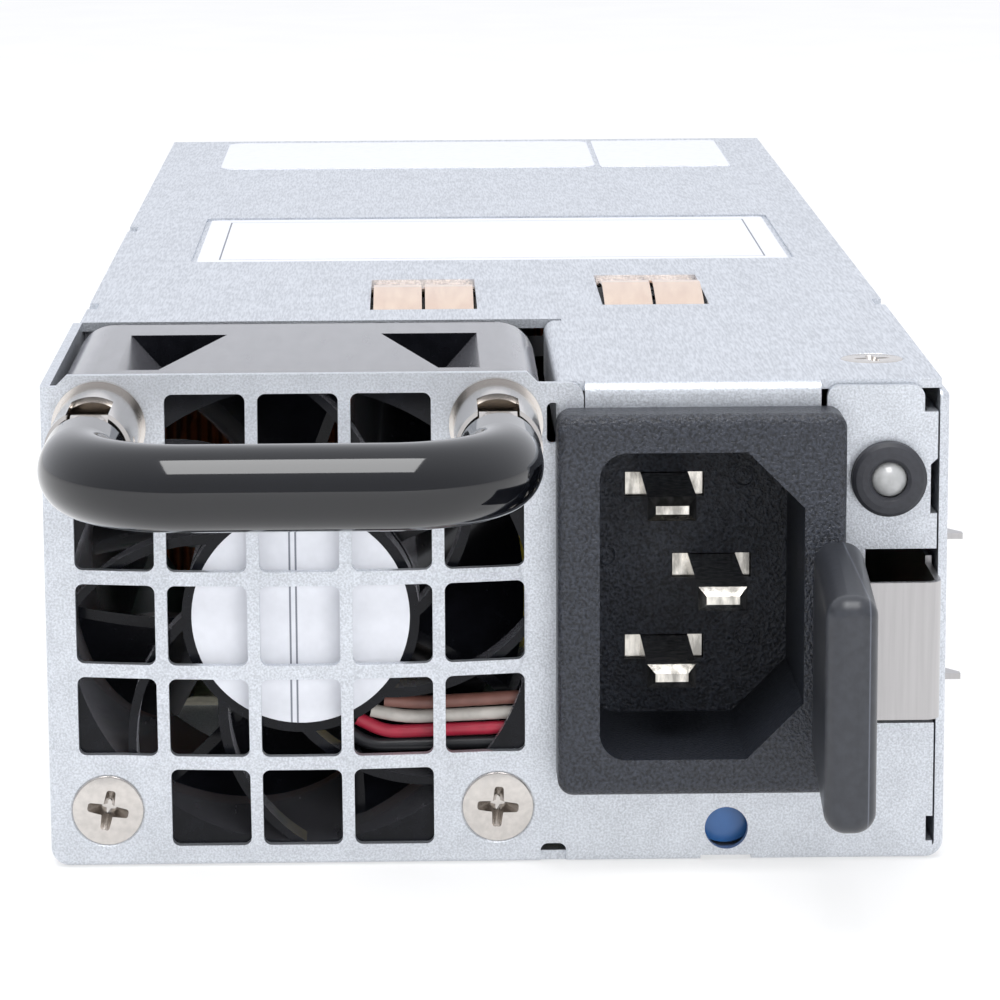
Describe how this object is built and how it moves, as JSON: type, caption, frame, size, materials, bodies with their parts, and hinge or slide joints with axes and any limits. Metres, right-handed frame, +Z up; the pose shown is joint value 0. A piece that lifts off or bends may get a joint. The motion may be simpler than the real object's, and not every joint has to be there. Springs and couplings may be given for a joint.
{
  "type": "server power supply",
  "caption": "Hot swap power supply module with a front fan, mains inlet, fold-up handle, sprung latch and rear edge connector.",
  "frame": {"origin": "centre of the case's flat bottom face", "axes": "+Y from the front plate to the rear connector, +Z up, +X to the right seen from the front"},
  "size_m": [0.0761, 0.2263, 0.0409],
  "materials": {
    "galvanised_steel": "bright galvanised sheet, fine spangle",
    "copper_strip": "tinned beryllium copper, satin",
    "black_nylon": "black moulded nylon",
    "inlet_plastic": "black, finely textured",
    "yoke_steel": "ground steel",
    "magnet": "bonded ferrite",
    "stator_iron": "laminated iron, coated",
    "green_board": "green solder mask",
    "bare_label": "white film, left bare",
    "nickel_steel": "nickel plated steel",
    "gloss_black_sleeve": "glossy black tube",
    "plated_brass": "nickel plated brass",
    "gold_contact": "gold plate",
    "clear_lens": "milky clear epoxy",
    "lead_insulation": "PVC insulation, one colour per lead",
    "spring_steel": "brushed stainless strip",
    "grey_grip": "dark grey satin plastic",
    "insulating_film": "fish-paper sheet",
    "copper_winding": "enamelled copper and tape",
    "film_box": "moulded box, bare",
    "can_aluminium": "sleeved aluminium can",
    "blue_disc": "blue epoxy coat",
    "fuse_body": "ceramic body",
    "relay_body": "black moulded case",
    "heatsink_aluminium": "extruded aluminium",
    "package_black": "epoxy package",
    "bar_copper": "bare copper bar"
  },
  "bodies": {
    "case": {"board_screws": "nickel_steel", "boost_choke": "copper_winding", "bridge_rectifier": "package_black", "bulk_capacitors": "can_aluminium", "chassis_tray": "galvanised_steel", "control_board": "green_board", "cover_screws": "nickel_steel", "edge_contacts": "gold_contact", "fan_bearings": "yoke_steel", "fan_board": "green_board", "fan_connector": "black_nylon", "fan_frame": "black_nylon", "fan_hub_label": "bare_label", "fan_lead_black": "lead_insulation", "fan_lead_brown": "lead_insulation", "fan_lead_grey": "lead_insulation", "fan_lead_red": "lead_insulation", "fan_screws": "nickel_steel", "fan_stator": "stator_iron", "film_capacitors": "film_box", "fuse": "fuse_body", "grounding_fingers": "copper_strip", "handle_ferrules": "nickel_steel", "handle_pins": "nickel_steel", "handle_screws": "nickel_steel", "inlet_blades": "plated_brass", "inlet_housing": "inlet_plastic", "inlet_lead_earth": "lead_insulation", "inlet_lead_line": "lead_insulation", "inlet_lead_neutral": "lead_insulation", "inrush_relay": "relay_body", "insulating_sheet": "insulating_film", "lamp_holder": "black_nylon", "lamp_lens": "clear_lens", "lamp_wires": "lead_insulation", "latch_rivets": "nickel_steel", "line_chokes": "copper_winding", "main_board": "green_board", "main_transformer": "copper_winding", "output_bar": "bar_copper", "output_capacitors": "can_aluminium", "output_choke": "copper_winding", "primary_heatsink": "heatsink_aluminium", "primary_transistors": "package_black", "rating_label": "bare_label", "rear_labels": "bare_label", "rear_panel": "galvanised_steel", "safety_capacitors": "blue_disc", "secondary_heatsink": "heatsink_aluminium", "standoffs": "plated_brass", "top_cover": "galvanised_steel"},
    "handle": {"handle_wire": "nickel_steel", "handle_sleeve": "gloss_black_sleeve"},
    "latch": {"latch_spring": "spring_steel", "latch_grip": "grey_grip"},
    "rotor": {"fan_rotor": "black_nylon", "rotor_yoke": "yoke_steel", "rotor_magnet": "magnet", "fan_shaft": "yoke_steel"}
  },
  "joints": [
    {"name": "handle_fold", "type": "hinge", "parent": "case", "child": "handle", "pos_m": [-0.016, -0.1015, 0.03675], "axis": [-1, 0, 0], "range_deg": [0, 90]},
    {"name": "latch_press", "type": "hinge", "parent": "case", "child": "latch", "pos_m": [0.0354, -0.0345, 0.0188], "axis": [0, 0, -1], "range_deg": [0, 3.4], "stiffness_Nm_per_rad": 8, "springref_deg": -1.15},
    {"name": "fan_spin", "type": "hinge", "parent": "case", "child": "rotor", "pos_m": [-0.016, -0.08, 0.02075], "axis": [0, 1, 0], "continuous": true}
  ]
}
